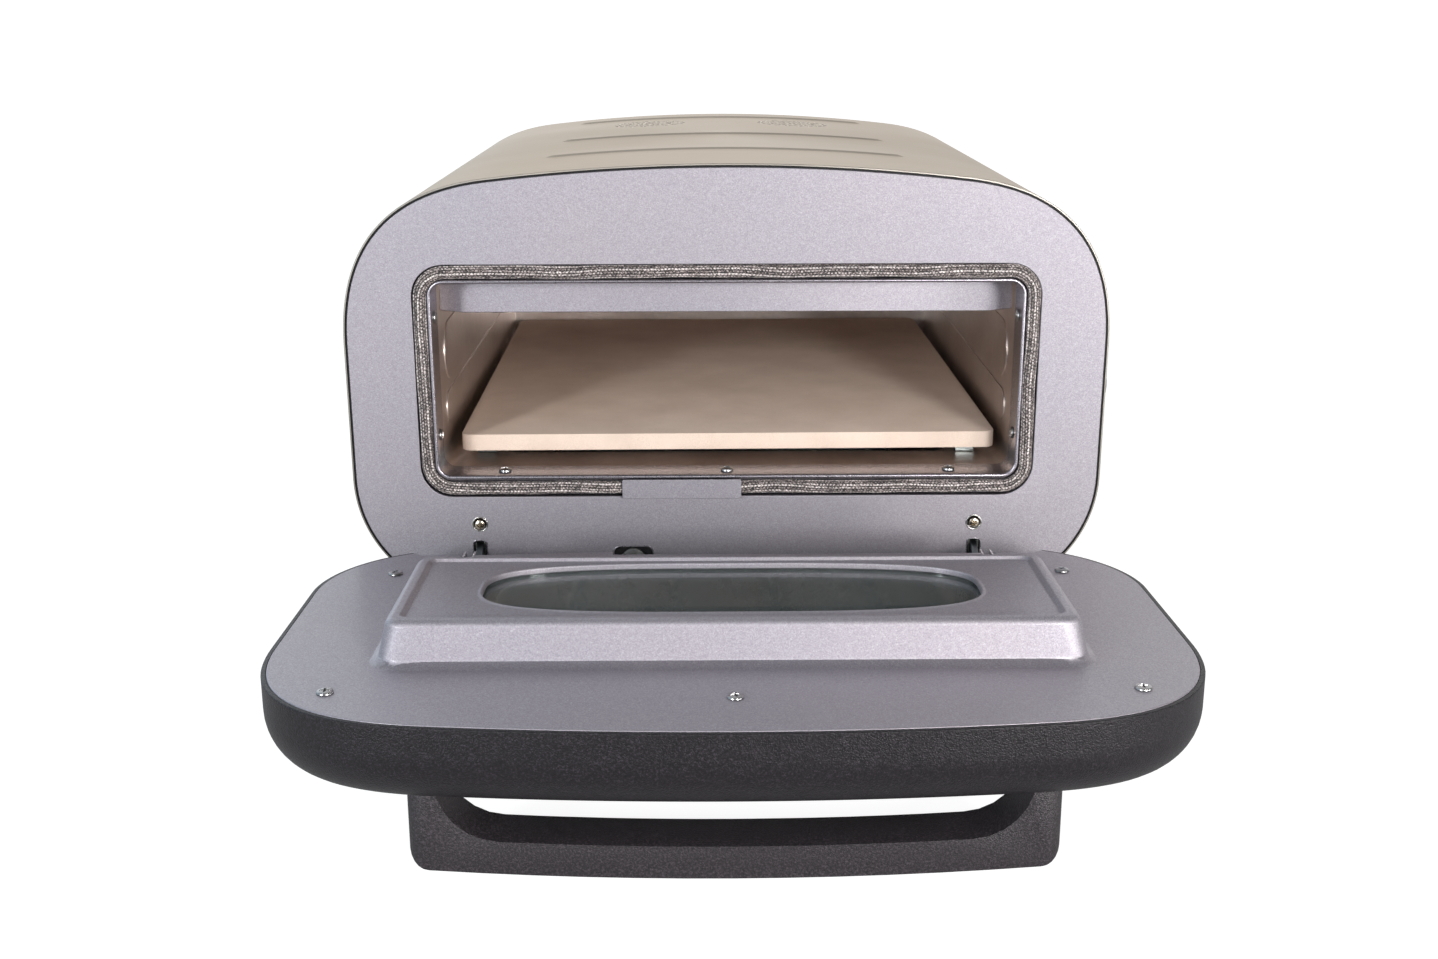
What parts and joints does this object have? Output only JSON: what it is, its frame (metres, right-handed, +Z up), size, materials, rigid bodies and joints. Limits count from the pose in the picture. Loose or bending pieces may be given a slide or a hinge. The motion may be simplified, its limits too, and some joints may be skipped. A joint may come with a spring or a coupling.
{
  "type": "pizza oven",
  "caption": "Countertop electric pizza oven with an arched steel case, a drop-down windowed door with a bar handle, and a sliding baking stone.",
  "frame": {"origin": "middle of the part's box, on the surface that the feet stand on, door open as stored", "axes": "+Z up, -Y the way the door opens, towards the user, +X to the right seen from the front, where the knobs are"},
  "size_m": [0.4858, 0.7698, 0.3176],
  "materials": {
    "brushed_shell": "brushed round the wrap",
    "silver_paint": "fine metallic silver paint, satin",
    "black_trim": "matt",
    "rope": "braided, speckled",
    "cavity_steel": "semi-gloss enamel",
    "steel": "plain",
    "cordierite": "matt",
    "wool": "matt wool",
    "black_paint": "fine-textured matt",
    "black_plastic": "matt",
    "foot_rubber": "matt",
    "red_lens": "gloss",
    "window_glass": "dark tinted gloss",
    "screw_metal": "zinc plated"
  },
  "bodies": {
    "case": {"outer_shell": "brushed_shell", "front_panel": "silver_paint", "case_trim": "black_trim", "oven_throat": "silver_paint", "door_gasket": "rope", "gasket_clip": "silver_paint", "cavity_liner": "cavity_steel", "heater_pan": "cavity_steel", "lintel_baffle": "silver_paint", "upper_element": "steel", "lower_element": "steel", "element_flange": "steel", "element_bar": "steel", "lower_element_rest": "steel", "stone_rail_left": "cavity_steel", "stone_rail_right": "cavity_steel", "insulation_blanket": "wool", "rear_panel": "black_paint", "power_inlet": "black_plastic", "bottom_plate": "black_paint", "foot_front_left": "foot_rubber", "foot_front_right": "foot_rubber", "foot_rear_left": "foot_rubber", "foot_rear_right": "foot_rubber", "control_panel": "black_paint", "thermostat_body": "black_plastic", "timer_body": "black_plastic", "indicator_lamp": "red_lens", "hinge_arm_left": "steel", "hinge_arm_right": "steel", "hinge_receiver_left": "steel", "hinge_receiver_right": "steel", "switch_housing": "black_plastic", "hinge_screw_left": "screw_metal", "hinge_screw_right": "screw_metal", "throat_screw_floor_left": "screw_metal", "throat_screw_floor_middle": "screw_metal", "throat_screw_floor_right": "screw_metal", "throat_screw_low_left": "screw_metal", "throat_screw_low_right": "screw_metal", "throat_screw_high_left": "screw_metal", "throat_screw_high_right": "screw_metal"},
    "door": {"door_body": "black_paint", "door_inner_panel": "silver_paint", "inner_window_glass": "window_glass", "outer_window_glass": "window_glass", "window_spacer": "steel", "door_handle": "black_paint", "door_hinge_left": "steel", "door_hinge_right": "steel", "door_screw_low_left": "screw_metal", "door_screw_low_right": "screw_metal", "door_screw_high_left": "screw_metal", "door_screw_high_right": "screw_metal", "door_screw_middle": "screw_metal"},
    "thermostat_knob": {"thermostat_knob": "black_plastic"},
    "timer_knob": {"timer_knob": "black_plastic"},
    "switch_button": {"switch_button": "black_plastic"},
    "pizza_stone": {"pizza_stone": "cordierite"}
  },
  "joints": [
    {"name": "door_hinge", "type": "hinge", "parent": "case", "child": "door", "pos_m": [-0.0096, -0.1176, 0.0488], "axis": [1, 0, 0], "range_deg": [-88.4, 0]},
    {"name": "thermostat_turn", "type": "hinge", "parent": "case", "child": "thermostat_knob", "pos_m": [0.2259, 0.0128, 0.164], "axis": [-1, 0, 0], "range_deg": [0, 280]},
    {"name": "timer_turn", "type": "hinge", "parent": "case", "child": "timer_knob", "pos_m": [0.2259, 0.0928, 0.164], "axis": [-1, 0, 0], "range_deg": [0, 300]},
    {"name": "switch_press", "type": "slide", "parent": "case", "child": "switch_button", "axis": [0, 1, 0], "range_m": [0, 0.0025], "stiffness_N_per_m": 300},
    {"name": "stone_slide", "type": "slide", "parent": "case", "child": "pizza_stone", "axis": [0, -1, 0], "range_m": [0, 0.3]}
  ]
}
